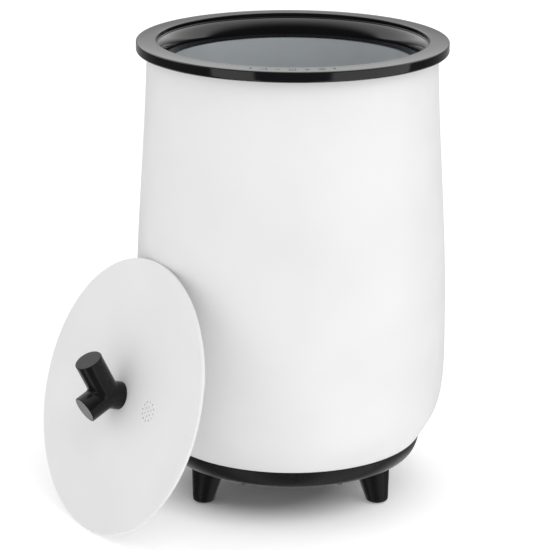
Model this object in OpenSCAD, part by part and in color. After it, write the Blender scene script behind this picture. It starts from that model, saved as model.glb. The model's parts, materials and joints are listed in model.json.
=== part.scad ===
// Paraffin wax bath: a double-walled barrel with a heated aluminium pot, a
// glossy collar, three feet and a loose round lid with a forked knob.
// Millimetres. The origin is on the barrel's axis at table level, +Z is up and
// the front, with the touch controls, faces -Y. The lid leans on the barrel.

/* [Barrel] */
// Height of the base ring's underside above the table
foot_h = 42.5; // [38:0.5:48]
// Height of the black ring below the barrel
base_h = 18.5; // [16:0.5:22]
// Height of the white barrel
barrel_h = 399; // [380:1:420]
// Barrel radius where it meets the base ring
barrel_foot_r = 134.8; // [130:0.1:138]
// Largest barrel radius
belly_r = 158.8; // [154:0.1:162]
// Height of the largest radius above the barrel's lower edge
belly_h = 94; // [85:1:110]
// Barrel radius below the collar
barrel_top_r = 145.3; // [144:0.1:148]
// Wall thickness of the barrel
barrel_wall = 3; // [2.5:0.1:3.5]

/* [Collar] */
// Outer radius of the collar
collar_r = 156.1; // [155:0.1:157.5]
// Height of the collar's outer band
band_h = 10.75; // [10:0.05:12]
// Height of the bevel under the collar's outer edge
collar_bevel_h = 2.4; // [2:0.1:3]
// Rise of the collar's top face towards the inside
crest_rise = 0.65; // [0.4:0.05:1.2]
// Radius of the recess that locates the lid
recess_r = 136; // [135.5:0.1:136.3]
// Depth of that recess below the crest
recess_depth = 4.6; // [4:0.1:5.5]
// Radius of the narrow mouth at the bottom of the funnel
mouth_r = 124.3; // [122:0.1:125]
// Depth of the mouth below the crest
mouth_depth = 23.4; // [22:0.1:25]

/* [Pot] */
// Inner radius of the pot at its mouth
pot_top_r = 125.4; // [124.8:0.1:126]
// Inner radius of the pot above its bottom corner
pot_low_r = 119; // [114:0.5:121]
// Height of the pot's floor above the table
pot_floor_z = 112; // [108:1:120]
// Wall thickness of the pot
pot_wall = 1.6; // [1.2:0.1:1.8]
// Radius of the corner between wall and floor
pot_corner_r = 20; // [12:1:24]

/* [Feet] */
// Radius of a foot under the base
foot_top_r = 19.4; // [16:0.1:21]
// Radius of a foot at its lower end
foot_low_r = 11.7; // [11:0.1:13]
// Distance of a foot's upper end from the axis
foot_top_off = 97.6; // [95:0.1:100]
// Distance of a foot's lower end from the axis
foot_low_off = 105.4; // [102:0.1:107]
// Rounding of a foot's lower edge
foot_round = 3; // [2:0.1:3.2]
// Half the angle between the two front feet
foot_spread = 57.3; // [52:0.1:60]
// Turn of the three feet about the barrel's axis
foot_turn = 1.3; // [-2:0.1:2]

/* [Lid] */
// Radius of the lid
lid_r = 138.2; // [137:0.1:139]
// Thickness of the lid
lid_t = 4; // [3:0.1:4.5]
// Lean of the lid from the vertical
lid_lean = 18.1; // [17:0.1:20]
// Direction in which the leaning lid faces, from +X
lid_azimuth = -145.6; // [-148:0.1:-144]
// Direction from the axis to the leaning lid's centre, from +X
lid_place = -146.7; // [-148:0.1:-144]
// Distance of the leaning lid's centre from the axis
lid_off = 203; // [203:0.1:210]
// Distance of the vent holes from the lid's centre
vent_off = 55; // [45:1:80]
// Radius of one vent hole
vent_hole_r = 0.9; // [0.8:0.05:1.2]

/* [Knob] */
// Radius of the knob's trunk
trunk_r = 14.2; // [13.6:0.1:15]
// Radius of the knob's two branches
branch_r = 14; // [12:0.1:14.5]
// Height of the fork above the lid
fork_h = 15.5; // [15:0.1:18]
// Length of the long branch from the fork
long_branch = 43.3; // [36:0.1:46]
// Length of the short branch from the fork
short_branch = 27.6; // [24:0.1:32]

/* [Hidden] */
$fn = 96;
eps = 0.01;

// Levels
z_base = foot_h;
z_barrel = z_base + base_h;
z_belly = z_barrel + belly_h;
z_rim = z_barrel + barrel_h;
z_band_top = z_rim + band_h;
z_crest = z_band_top + crest_rise;
z_ledge = z_crest - recess_depth;
z_mouth = z_crest - mouth_depth;

// Barrel flange and base pan
flange_t = 3;
flange_r = 108;
base_wall = 3;
base_floor_t = 3;
z_floor = z_base + base_floor_t;
base_top_r = barrel_foot_r - 0.2;
base_low_r = base_top_r - 7;

// Collar section
collar_wall = 2.8;
collar_lip_r = barrel_top_r + 0.3;
bevel_slope = 0.38;
skirt_out_r = barrel_top_r - barrel_wall - 0.6;
skirt_in_r = skirt_out_r - 2.9;
channel_in_r = barrel_top_r + 1.3;
channel_out_r = collar_r - 2.8;
z_channel = z_rim + 7;
channel_cover_t = 1.4;
function bevel_z(r) = z_rim + collar_bevel_h - bevel_slope * (collar_r - r);

// Clamped stack below the collar
gasket_t = 0.8;
z_pot_flange = z_mouth - gasket_t - pot_wall;
pot_flange_r = 131.8;
ring_t = 2;
z_ring = z_pot_flange - ring_t;
ring_in_r = 128.4;
ring_out_r = 138.4;
boss_off = 135.6;
boss_r = 3.5;
collar_screw_r = 1.6;
collar_screw_l = 14;
collar_screw_azimuths = [for (i = [0:5]) 30 + 60 * i];

// Straps that tie the collar stack to the barrel's flange
strap_azimuths = [90, 210, 330];
strap_t = 1.2;
strap_w = 14;
strap_r = 134.1;
strap_foot_off = 118;
m4_r = 2;

// Pot outside: a slight cone between the corner and the flange
z_pot_low = pot_floor_z + pot_corner_r;
pot_slope = (pot_top_r - pot_low_r) / (z_pot_flange - z_pot_low);
function pot_out_r(z) = pot_low_r + pot_wall + (z - z_pot_low) * pot_slope;
z_pot_under = pot_floor_z - pot_wall;

// Heaters and insulation
wall_heater_t = 1.5;
wall_heater_gap = 0.15;
wall_heater_z = [150, 290];
band_t = 0.6;
band_gap = 0.15;
band_w = 9;
band_z = [170, 262];
seam_azimuth = 60;
seam_half = 8;
base_heater_t = 2.6;
base_heater_r = [25, 88];
cutout_r = 8.5;
cutout_h = 9;
wrap_out_r = 132.3;
function heater_in_r(z) = pot_out_r(z) + wall_heater_gap;
function band_in_r(z) = heater_in_r(z) + wall_heater_t + band_gap;
wrap_gap = wall_heater_gap + wall_heater_t + band_gap + band_t + 0.25;
wrap_z = [100, 439];

// Heat shield and the posts that carry it
shield_t = 1.2;
z_shield = 95;
shield_r = 104;
post_r = 5;
post_off = 96;
post_azimuths = [30, 150, 270];
shield_screw_r = 1.8;
shield_hole_r = 15;

// Fasteners of the base
base_screw_off = 121;
base_screw_azimuths = [for (a = [30, 150, 270], s = [-23.2, 23.2]) a + s + foot_turn];
foot_azimuths = [for (a = [90, 270 - foot_spread, 270 + foot_spread]) a + foot_turn];
foot_screw_r = 2;
foot_screw_l = 16;
pad_r = 7.6;
pad_h = 3;
pad_proud = 1;

// Cord gland in the back of the base ring
gland_z = z_base + 9.5;
gland_bore_r = 3.7;
gland_body_r = 5.2;
gland_flange_r = 7;
gland_boss_r = 8;
gland_face_y = 134.4;
gland_boss_y = 120;

// Control board
board_size = [100, 70, 1.6];
board_centre = [0, -20];
z_board = z_floor + 10;
z_board_top = z_board + board_size.z;
standoff_r = 3.5;
board_screw_r = 1.5;
board_corners = [for (x = [-44, 44], y = [-29, 29]) [board_centre.x + x, board_centre.y + y]];
terminal_size = [40, 16, 14];
terminal_centre = [0, 80];
ribbon_azimuth = 282;
ribbon_w = 8;
ribbon_t = 0.5;

// Lid in its leaning place
lid_gap = 0.3;
lid_centre_z = lid_gap + lid_r * cos(lid_lean) + lid_t * sin(lid_lean);
lug_h = 3;
lug_r = [131.6, 134.2];
knob_screw_r = 2.5;

// Grate on the pot's floor
grate_r = 112;
grate_t = 2.5;
grate_foot_h = 11.5;
grate_gap = 0.3;
z_grate = pot_floor_z + grate_gap + grate_foot_h;

// ---------------------------------------------------------------- helpers

// Points of an elliptical arc
function arc_points(c, rx, rz, a0, a1, n) =
  [for (i = [0:n]) let (a = a0 + (a1 - a0) * i / n) [c.x + rx * cos(a), c.y + rz * sin(a)]];

// Points of a cubic Bezier curve
function bezier(p, n) =
  [for (i = [0:n]) let (t = i / n, u = 1 - t)
    p[0] * u * u * u + 3 * p[1] * u * u * t + 3 * p[2] * u * t * t + p[3] * t * t * t];

function reversed(list) = [for (i = [len(list) - 1:-1:0]) list[i]];

// Child moved out to radius r in the direction a
module place(a, r) {
  rotate([0, 0, a])
    translate([r, 0, 0])
      children();
}

// Ring with a rectangular section
module ring(r_in, r_out, z0, z1) {
  rotate_extrude()
    translate([r_in, z0])
      square([r_out - r_in, z1 - z0]);
}

// Pan-head screw: its head stands on z = 0 and its shank goes down
module screw(shank_r, length, head_r, head_h) {
  translate([0, 0, -length])
    cylinder(r = shank_r, h = length + eps, $fn = 32);
  difference() {
    union() {
      cylinder(r = head_r, h = head_h * 0.6, $fn = 32);
      translate([0, 0, head_h * 0.6])
        cylinder(r1 = head_r, r2 = head_r * 0.7, h = head_h * 0.4, $fn = 32);
    }
    for (a = [0, 90])
      rotate([0, 0, a])
        translate([-head_r * 0.5, -0.35, head_h * 0.5])
          cube([head_r, 0.7, head_h]);
  }
}

// Flat strip bent along points given as [radius, height], w wide across them
module bent_strip(points, t, w) {
  rotate([90, 0, 0])
    linear_extrude(w, center = true)
      for (i = [0:len(points) - 2]) {
        d = points[i + 1] - points[i];
        translate(points[i])
          rotate(atan2(d.y, d.x))
            translate([0, -t / 2])
              square([norm(d), t]);
        translate(points[i])
          circle(r = t / 2, $fn = 24);
      }
}

// Round wire along a list of points, with a slightly fuller ball at each bend
module wire(points, r) {
  for (i = [0:len(points) - 2]) {
    d = points[i + 1] - points[i];
    translate(points[i]) {
      rotate([0, acos(d.z / norm(d)), atan2(d.y, d.x)])
        cylinder(r = r, h = norm(d), $fn = 16);
      if (i > 0)
        sphere(r = 1.08 * r, $fn = 16);
    }
  }
}

// ------------------------------------------------------- barrel and collar

barrel_lower = bezier([
  [barrel_foot_r, z_barrel],
  [barrel_foot_r + 16.9, z_barrel + 28.5],
  [belly_r, z_belly - 62],
  [belly_r, z_belly]
], 14);
barrel_upper = bezier([
  [belly_r, z_belly],
  [belly_r, z_belly + 120],
  [barrel_top_r + 4.1, z_rim - 120],
  [barrel_top_r, z_rim]
], 18);
barrel_curve = concat(barrel_lower, [for (i = [1:18]) barrel_upper[i]]);
barrel_inside = [for (p = barrel_curve) if (p.y > z_barrel + flange_t + 2) p - [barrel_wall, 0]];

// White barrel with an inward flange at its lower end
module outer_shell() {
  color("white")
    difference() {
      rotate_extrude($fn = 180)
        polygon(concat(
          barrel_curve,
          reversed(barrel_inside),
          [
            [barrel_foot_r - barrel_wall + 1, z_barrel + flange_t],
            [flange_r, z_barrel + flange_t],
            [flange_r, z_barrel]
          ]
        ));
      for (a = base_screw_azimuths)
        place(a, base_screw_off)
          translate([0, 0, z_barrel - 1])
            cylinder(r = m4_r, h = flange_t + 2);
      for (a = strap_azimuths)
        place(a, strap_foot_off)
          translate([0, 0, z_barrel - 1])
            cylinder(r = m4_r, h = flange_t + 2);
    }
}

// Glossy collar: band, crest, lid recess and funnel in one moulding
module top_collar() {
  corner = 1.3;
  funnel_r = recess_r - 1.2;
  funnel = [
    [funnel_r, z_ledge],
    [funnel_r - 6.5, z_ledge - 1.2],
    [mouth_r + 0.6, z_mouth + 11],
    [mouth_r, z_mouth]
  ];
  z_under = z_ledge - collar_wall;
  under = [
    [mouth_r + collar_wall, z_mouth],
    [mouth_r + collar_wall + 0.6, z_mouth + 8],
    [funnel_r - 5, z_under - 0.6],
    [funnel_r + 1, z_under]
  ];
  outline = concat(
    [[collar_r, bevel_z(collar_r)]],
    arc_points([collar_r - corner, z_band_top - corner], corner, corner, 0, 84, 5),
    arc_points([recess_r + 1, z_crest - 1], 1, 1, 84, 180, 5),
    [[recess_r - 0.2, z_ledge]],
    bezier(funnel, 10),
    bezier(under, 8),
    [
      [skirt_in_r, z_under],
      [skirt_in_r, z_ring + ring_t + 0.6],
      [skirt_out_r, z_ring + ring_t + 0.6],
      [skirt_out_r, z_rim],
      [collar_lip_r, z_rim],
      [collar_lip_r, bevel_z(collar_lip_r)],
      [channel_in_r, bevel_z(channel_in_r)],
      [channel_in_r, z_channel],
      [channel_out_r, z_channel],
      [channel_out_r, bevel_z(channel_out_r)]
    ]
  );
  color("#101012")
    difference() {
      union() {
        rotate_extrude($fn = 180)
          polygon(outline);
        for (a = collar_screw_azimuths)
          place(a, boss_off)
            translate([0, 0, z_pot_flange])
              cylinder(r = boss_r, h = z_under - z_pot_flange + eps, $fn = 40);
      }
      for (a = collar_screw_azimuths)
        place(a, boss_off)
          translate([0, 0, z_pot_flange - 1])
            cylinder(r = collar_screw_r, h = collar_screw_l, $fn = 32);
      place(ribbon_azimuth, skirt_in_r - 1)
        translate([0, -ribbon_w / 2 - 1, z_rim + 2.4])
          cube([channel_in_r - skirt_in_r + 2, ribbon_w + 2, 2]);
    }
}

// Ring that closes the wiring channel, flush with the bevel under the collar
module rim_channel_cover() {
  color("#1a1a1c")
    rotate_extrude($fn = 180)
      polygon([
        [channel_in_r, bevel_z(channel_in_r)],
        [channel_out_r, bevel_z(channel_out_r)],
        [channel_out_r, bevel_z(channel_out_r) + channel_cover_t],
        [channel_in_r, bevel_z(channel_in_r) + channel_cover_t]
      ]);
}

// Curved touch board under the front of the band
module touch_board() {
  board_half = 22;
  color("#1d5c34")
    rotate([0, 0, 270 - board_half])
      rotate_extrude(angle = 2 * board_half)
        translate([channel_in_r + 0.4, z_channel - 1.4])
          square([channel_out_r - channel_in_r - 0.8, 1.4]);
}

// Ribbon cable from the touch board down to the control board
module touch_ribbon() {
  color("#d8d2c0")
    rotate([0, 0, ribbon_azimuth])
      bent_strip([
        [149, z_channel - 1.65],
        [147.2, z_rim + 3.4],
        [skirt_in_r - 1, z_rim + 3.4],
        [skirt_in_r - 1, 92],
        [103, 70],
        [55, 67]
      ], ribbon_t, ribbon_w);
}

// --------------------------------------------------------- pot and heating

// Drawn aluminium pot with a flange that the collar clamps
module inner_pot() {
  inside = concat(
    [[0, pot_floor_z]],
    arc_points([pot_low_r - pot_corner_r, pot_floor_z + pot_corner_r],
      pot_corner_r, pot_corner_r, -90, 0, 8),
    [[pot_top_r, z_pot_flange], [pot_top_r, z_pot_flange + pot_wall]]
  );
  outside = concat(
    [[pot_flange_r, z_pot_flange + pot_wall], [pot_flange_r, z_pot_flange],
      [pot_top_r + pot_wall, z_pot_flange]],
    arc_points([pot_low_r - pot_corner_r, pot_floor_z + pot_corner_r],
      pot_corner_r + pot_wall, pot_corner_r + pot_wall, 0, -90, 8),
    [[0, z_pot_under]]
  );
  color("#8e949a")
    rotate_extrude($fn = 180)
      polygon(concat(inside, outside));
}

// Silicone gasket between the pot's flange and the collar
module pot_gasket() {
  color("#2c2c2e")
    ring(mouth_r + 4.4, pot_flange_r - 0.2, z_mouth - gasket_t, z_mouth);
}

// Steel ring that presses the pot's flange up against the collar
module clamp_ring() {
  color("#b9bcc0")
    difference() {
      ring(ring_in_r, ring_out_r, z_ring, z_ring + ring_t);
      for (a = collar_screw_azimuths)
        place(a, boss_off)
          translate([0, 0, z_ring - 1])
            cylinder(r = collar_screw_r, h = ring_t + 2, $fn = 32);
      place(ribbon_azimuth, skirt_in_r - 2.2)
        translate([0, -ribbon_w / 2 - 1.5, z_ring - 1])
          cube([6, ribbon_w + 3, ring_t + 2]);
    }
}

// Six screws that go up through the straps and the ring into the collar
module collar_screws() {
  color("#c8cacd")
    for (a = collar_screw_azimuths)
      place(a, boss_off) {
        has_strap = len(search(a, strap_azimuths)) > 0;
        translate([0, 0, z_ring - (has_strap ? strap_t : 0)])
          rotate([180, 0, 0])
            screw(collar_screw_r, collar_screw_l, 3.1, 2.4);
      }
}

// Three steel straps from the clamp ring down to the barrel's flange
module hanger_straps() {
  z_tab = z_ring - strap_t / 2;
  z_strap_foot = z_barrel + flange_t + strap_t / 2;
  color("#aeb1b5")
    for (a = strap_azimuths)
      rotate([0, 0, a])
        difference() {
          bent_strip([
            [ring_out_r - 0.2, z_tab],
            [strap_r, z_tab],
            [strap_r, 86],
            [127, 72],
            [127, z_strap_foot],
            [strap_foot_off - 7, z_strap_foot]
          ], strap_t, strap_w);
          translate([boss_off, 0, z_tab - 2])
            cylinder(r = collar_screw_r, h = 4, $fn = 32);
          translate([boss_off, 0, z_tab - strap_t / 2 - 6])
            cylinder(r = 3.4, h = 6, $fn = 32);
          translate([strap_foot_off, 0, z_strap_foot - 2])
            cylinder(r = m4_r, h = 4, $fn = 32);
        }
}

// Screws that hold the straps' feet on the flange
module strap_screws() {
  color("#c8cacd")
    for (a = strap_azimuths)
      place(a, strap_foot_off)
        translate([0, 0, z_barrel + flange_t + strap_t])
          screw(m4_r, flange_t + strap_t, 4, 2.6);
}

// Silicone heating mat around the lower part of the pot
module wall_heater() {
  z0 = wall_heater_z[0];
  z1 = wall_heater_z[1];
  color("#c25a2c")
    rotate([0, 0, seam_azimuth + 4])
      rotate_extrude(angle = 352)
        polygon([
          [heater_in_r(z0), z0],
          [heater_in_r(z0) + wall_heater_t, z0],
          [heater_in_r(z1) + wall_heater_t, z1],
          [heater_in_r(z1), z1]
        ]);
}

// Two steel bands that hold the heating mat
module heater_bands() {
  color("#c0c3c7")
    for (z = band_z)
      rotate([0, 0, seam_azimuth + 3])
        rotate_extrude(angle = 354)
          polygon([
            [band_in_r(z), z],
            [band_in_r(z) + band_t, z],
            [band_in_r(z + band_w) + band_t, z + band_w],
            [band_in_r(z + band_w), z + band_w]
          ]);
}

// Screws that draw the ends of the bands together
module band_screws() {
  color("#d0d2d5")
    for (z = band_z)
      rotate([0, 0, seam_azimuth])
        translate([band_in_r(z + band_w) + band_t + 2.1, 0, z + band_w / 2])
          rotate([90, 0, 0]) {
            cylinder(r = 1.5, h = 22, center = true, $fn = 24);
            translate([0, 0, -11])
              cylinder(r = 2, h = 2.5, center = true, $fn = 24);
          }
}

// Ring-shaped heating plate under the pot
module base_heater() {
  color("#b2b5b9")
    ring(base_heater_r[0], base_heater_r[1], z_pot_under - base_heater_t, z_pot_under);
}

// Snap-disc cut-out that opens if the pot overheats
module thermal_cutout() {
  color("#e6e1d2")
    translate([0, 0, z_pot_under - cutout_h])
      cylinder(r = cutout_r, h = cutout_h, $fn = 48);
}

// Sheet-metal bracket that presses the cut-out against the pot
module cutout_bracket() {
  t = 1;
  z_up = z_pot_under - t / 2;
  z_down = z_pot_under - cutout_h - t / 2;
  color("#b9bcc0")
    bent_strip([[-22, z_up], [-12, z_up], [-12, z_down], [12, z_down], [12, z_up], [22, z_up]],
      t, 10);
}

// Temperature probe against the pot's wall, in the insulation's seam
module temperature_sensor() {
  z0 = 300;
  length = 28;
  probe_r = 2.2;
  color("#d4d6d9")
    place(seam_azimuth, pot_out_r(z0 + length) + probe_r + 0.05)
      translate([0, 0, z0])
        cylinder(r = probe_r, h = length, $fn = 32);
}

// Glass-wool blanket around the pot, open at its seam
module insulation_wrap() {
  color("#e9e2a8")
    rotate([0, 0, seam_azimuth + seam_half])
      rotate_extrude(angle = 360 - 2 * seam_half)
        polygon([
          [wrap_out_r, wrap_z[0]],
          [wrap_out_r, wrap_z[1]],
          [pot_out_r(wrap_z[1]) + wrap_gap, wrap_z[1]],
          [pot_out_r(z_pot_low) + wrap_gap, z_pot_low],
          [pot_out_r(z_pot_low) + wrap_gap, wrap_z[0]]
        ]);
}

// Glass-wool pad between the base heater and the heat shield
module insulation_disc() {
  color("#e9e2a8")
    ring(28, 112, z_shield + shield_t + 2.4, z_pot_under - base_heater_t - 0.2);
}

// Steel plate that keeps the pot's heat away from the electronics
module heat_shield() {
  color("#c3c6ca")
    difference() {
      ring(shield_hole_r, shield_r, z_shield, z_shield + shield_t);
      for (a = post_azimuths)
        place(a, post_off)
          translate([0, 0, z_shield - 1])
            cylinder(r = shield_screw_r, h = 4, $fn = 32);
    }
}

// Screws that hold the heat shield on its posts
module shield_screws() {
  color("#c8cacd")
    for (a = post_azimuths)
      place(a, post_off)
        translate([0, 0, z_shield + shield_t])
          screw(shield_screw_r, 10, 3.6, 2.2);
}

// ------------------------------------------------------------ base and feet

// Black base moulding: ring, floor, posts, standoffs, vents and gland boss
module base_pan() {
  outer_curve = bezier([
    [base_low_r - 1, z_base],
    [base_low_r + 2.6, z_base + 2.6],
    [base_top_r - 0.6, z_base + 9.5],
    [base_top_r, z_barrel - 1]
  ], 8);
  inner_curve = reversed([for (p = outer_curve) if (p.y > z_floor + 1) p - [base_wall, 0]]);
  color("#1c1c1e")
    difference() {
      union() {
        rotate_extrude($fn = 180)
          polygon(concat(
            [[0, z_base]],
            outer_curve,
            [[base_top_r - 0.8, z_barrel], [base_top_r - base_wall - 0.4, z_barrel]],
            inner_curve,
            [[base_low_r - base_wall, z_floor], [0, z_floor]]
          ));
        for (a = base_screw_azimuths)
          place(a, base_screw_off)
            translate([0, 0, z_floor - eps])
              cylinder(r = 5, h = z_barrel - z_floor + eps, $fn = 40);
        for (a = post_azimuths)
          place(a, post_off)
            translate([0, 0, z_floor - eps])
              cylinder(r = post_r, h = z_shield - z_floor + eps, $fn = 40);
        for (c = board_corners)
          translate([c.x, c.y, z_floor - eps])
            cylinder(r = standoff_r, h = z_board - z_floor + eps, $fn = 32);
        intersection() {
          translate([0, gland_boss_y, gland_z])
            rotate([-90, 0, 0])
              cylinder(r = gland_boss_r, h = gland_face_y - gland_boss_y, $fn = 48);
          translate([-20, 0, z_base])
            cube([40, 200, base_h]);
        }
      }
      for (a = base_screw_azimuths)
        place(a, base_screw_off)
          translate([0, 0, z_base - 1])
            cylinder(r = m4_r, h = base_h + 2, $fn = 32);
      for (a = post_azimuths)
        place(a, post_off)
          translate([0, 0, z_shield - 11])
            cylinder(r = shield_screw_r, h = 12, $fn = 32);
      for (c = board_corners)
        translate([c.x, c.y, z_board - 8])
          cylinder(r = board_screw_r, h = 9, $fn = 32);
      for (a = foot_azimuths)
        place(a, foot_top_off)
          translate([0, 0, z_base - 1])
            cylinder(r = foot_screw_r, h = base_floor_t + 2, $fn = 32);
      translate([0, gland_boss_y - 1, gland_z])
        rotate([-90, 0, 0])
          cylinder(r = gland_body_r, h = 20, $fn = 48);
      base_vents();
    }
}

// Ventilation slots in the base floor, in three fans between the feet
module base_vents() {
  slot_w = 3;
  slot_l = 22;
  for (a = [30, 150, 270], i = [-2:2])
    place(a + 9 * i, 60)
      translate([0, -slot_w / 2, z_base - 1])
        cube([slot_l, slot_w, base_floor_t + 2]);
}

// Screws from below that fix the base to the barrel's flange
module base_screws() {
  color("#2a2a2c")
    for (a = base_screw_azimuths)
      place(a, base_screw_off)
        translate([0, 0, z_base])
          rotate([180, 0, 0])
            screw(m4_r, base_h + flange_t, 3.8, 2.5);
}

// Tapered foot, steeper outside than inside, with a pocket for its pad
module foot(a) {
  rotate([0, 0, a])
    difference() {
      hull() {
        translate([foot_top_off, 0, z_base - 0.5])
          cylinder(r = foot_top_r, h = 0.5, $fn = 48);
        for (k = [0, 0.3, 1])
          translate([foot_low_off, 0, pad_proud + k * foot_round])
            cylinder(r = foot_low_r - (1 - k) * foot_round, h = 0.3, $fn = 48);
      }
      translate([foot_low_off, 0, pad_proud - 1])
        cylinder(r = pad_r, h = pad_h, $fn = 48);
      translate([foot_top_off, 0, z_base - foot_screw_l + base_floor_t])
        cylinder(r = foot_screw_r, h = foot_screw_l, $fn = 32);
    }
}

module foot_front_left() {
  color("#161617")
    foot(foot_azimuths[1]);
}

module foot_front_right() {
  color("#161617")
    foot(foot_azimuths[2]);
}

module foot_back() {
  color("#161617")
    foot(foot_azimuths[0]);
}

// Rubber pad in the end of a foot
module pad(a) {
  place(a, foot_low_off)
    cylinder(r = pad_r, h = pad_h, $fn = 48);
}

module pad_front_left() {
  color("#3a3a3c")
    pad(foot_azimuths[1]);
}

module pad_front_right() {
  color("#3a3a3c")
    pad(foot_azimuths[2]);
}

module pad_back() {
  color("#3a3a3c")
    pad(foot_azimuths[0]);
}

// Screws from inside the base that hold the feet
module foot_screws() {
  color("#c8cacd")
    for (a = foot_azimuths)
      place(a, foot_top_off)
        translate([0, 0, z_floor])
          screw(foot_screw_r, foot_screw_l, 4, 2.6);
}

// ------------------------------------------------------------- electronics

// Gland for the mains cord
module cord_gland() {
  lip_t = 2.4;
  tail = 8;
  color("#141415")
    translate([0, 0, gland_z])
      rotate([-90, 0, 0])
        rotate_extrude()
          polygon([
            [gland_bore_r, gland_boss_y - tail],
            [gland_body_r, gland_boss_y - tail],
            [gland_body_r, gland_face_y],
            [gland_flange_r, gland_face_y],
            [gland_flange_r, gland_face_y + lip_t - 0.8],
            [gland_flange_r - 0.8, gland_face_y + lip_t],
            [gland_bore_r, gland_face_y + lip_t]
          ]);
}

// Hexagonal nut on the gland, inside the base
module gland_nut() {
  nut_t = 4;
  color("#202022")
    translate([0, gland_boss_y - nut_t, gland_z])
      rotate([-90, 0, 0])
        difference() {
          cylinder(r = 7, h = nut_t, $fn = 6);
          translate([0, 0, -1])
            cylinder(r = gland_body_r, h = nut_t + 2, $fn = 48);
        }
}

// Terminal block where the mains cord's wires end
module terminal_block() {
  color("#e8e6dc")
    translate([terminal_centre.x - terminal_size.x / 2, terminal_centre.y - terminal_size.y / 2, z_floor])
      difference() {
        cube(terminal_size);
        for (i = [0:2])
          translate([8 + 12 * i, terminal_size.y / 2, terminal_size.z - 5])
            cylinder(r = 2.2, h = 6, $fn = 24);
      }
}

// Clamping screws of the terminal block
module terminal_screws() {
  color("#c9a84a")
    for (i = [0:2])
      translate([
        terminal_centre.x - terminal_size.x / 2 + 8 + 12 * i,
        terminal_centre.y,
        z_floor + terminal_size.z - 5
      ])
        difference() {
          cylinder(r = 2.2, h = 3.5, $fn = 24);
          translate([-3, -0.4, 2.6])
            cube([6, 0.8, 2]);
        }
}

// Printed circuit board of the temperature control
module control_board() {
  color("#1f6b3a")
    difference() {
      translate([board_centre.x - board_size.x / 2, board_centre.y - board_size.y / 2, z_board])
        cube(board_size);
      for (c = board_corners)
        translate([c.x, c.y, z_board - 1])
          cylinder(r = board_screw_r, h = 4, $fn = 32);
    }
}

module board_screws() {
  color("#c8cacd")
    for (c = board_corners)
      translate([c.x, c.y, z_board_top])
        screw(board_screw_r, 7, 2.8, 2);
}

// Small transformer: laminated core around a wound bobbin
module transformer() {
  color("#c7b04a")
    translate([-23.5, -34, z_board_top]) {
      translate([-17, -11, 0])
        cube([34, 22, 4]);
      translate([-17, -11, 22])
        cube([34, 22, 4]);
      for (x = [-17, 13])
        translate([x, -11, 4])
          cube([4, 22, 18]);
      translate([-10, -13, 4])
        cube([20, 26, 18]);
    }
}

module relay() {
  color("#2b57a0")
    translate([14, -4, z_board_top])
      cube([20, 16, 15.5]);
}

module filter_capacitors() {
  color("#22242a")
    for (x = [8, 22, 36])
      translate([x, -30, z_board_top])
        cylinder(r = 5, h = 12 + 2 * (x % 3), $fn = 32);
}

// Plug-in connectors along the edges of the board
module board_connectors() {
  color("#f0efe8")
    for (c = [[-40, 6, 20], [-12, 6, 16], [2, -54, 18]])
      translate([c.x, c.y, z_board_top])
        difference() {
          cube([c.z, 7, 9]);
          translate([1.2, 1.2, 4])
            cube([c.z - 2.4, 4.6, 6]);
        }
}

// Live and neutral wires from the terminal block to the board
module power_leads() {
  color("#6b3f22")
    for (x = [-12, 0])
      wire([
        [x, terminal_centre.y - terminal_size.y / 2, z_floor + 5],
        [x, 50, z_floor + 5],
        [x - 18, 26, z_board_top + 14],
        [x - 18, 9.5, z_board_top + 14],
        [x - 18, 9.5, z_board_top + 4]
      ], 1.2);
}

// Wires from the board up to the heaters and the cut-out
module heater_leads() {
  color("#b02a20")
    for (x = [-6, -2])
      wire([
        [x, 9.5, z_board_top + 4],
        [x, 9.5, 88],
        [x, 4, z_shield + 2],
        [x, 4, z_pot_under - cutout_h - 1]
      ], 1.1);
}

// Wire from the temperature probe down the seam to the board
module sensor_lead() {
  probe = pot_out_r(328) + 2.25;
  c = cos(seam_azimuth);
  s = sin(seam_azimuth);
  color("#dddddd")
    wire([
      [probe * c, probe * s, 300],
      [(probe + 5) * c, (probe + 5) * s, 290],
      [(probe + 5) * c, (probe + 5) * s, 92],
      [100 * c, 100 * s, 74],
      [40, 30, z_board_top + 20],
      [24, 30, z_board_top + 19],
      [24, 4, z_board_top + 19]
    ], 0.9);
}

// Earth wire from the terminal block to the heat shield
module earth_lead() {
  color("#3f8f3a")
    wire([
      [12, terminal_centre.y - terminal_size.y / 2, z_floor + 5],
      [12, 56, z_floor + 5],
      [30, 48, 80],
      [30, 48, z_shield]
    ], 1.2);
}

// ---------------------------------------------------------------- the lid

// Puts the lid where it leans. Local z is the lid's outer normal, local -x
// is its upper side, and z = 0 is its outer face.
module leaning() {
  translate([lid_off * cos(lid_place), lid_off * sin(lid_place), lid_centre_z])
    rotate([0, 90 - lid_lean, lid_azimuth])
      children();
}

// Flat round lid with a vent and three locating lugs underneath
module lid_plate() {
  edge = 0.8;
  color("#f2f2f2")
    leaning()
      difference() {
        union() {
          rotate_extrude($fn = 180)
            polygon(concat(
              [[0, 0]],
              arc_points([lid_r - edge, -edge], edge, edge, 90, 0, 4),
              arc_points([lid_r - edge, -lid_t + edge], edge, edge, 0, -90, 4),
              [[0, -lid_t]]
            ));
          for (a = [0, 120, 240])
            rotate([0, 0, a - 11])
              rotate_extrude(angle = 22)
                translate([lug_r[0], -lid_t - lug_h])
                  square([lug_r[1] - lug_r[0], lug_h + eps]);
        }
        translate([0, vent_off, 0])
          vent_holes();
        translate([0, 0, -lid_t - 1])
          cylinder(r = knob_screw_r, h = lid_t + 2, $fn = 32);
      }
}

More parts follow.
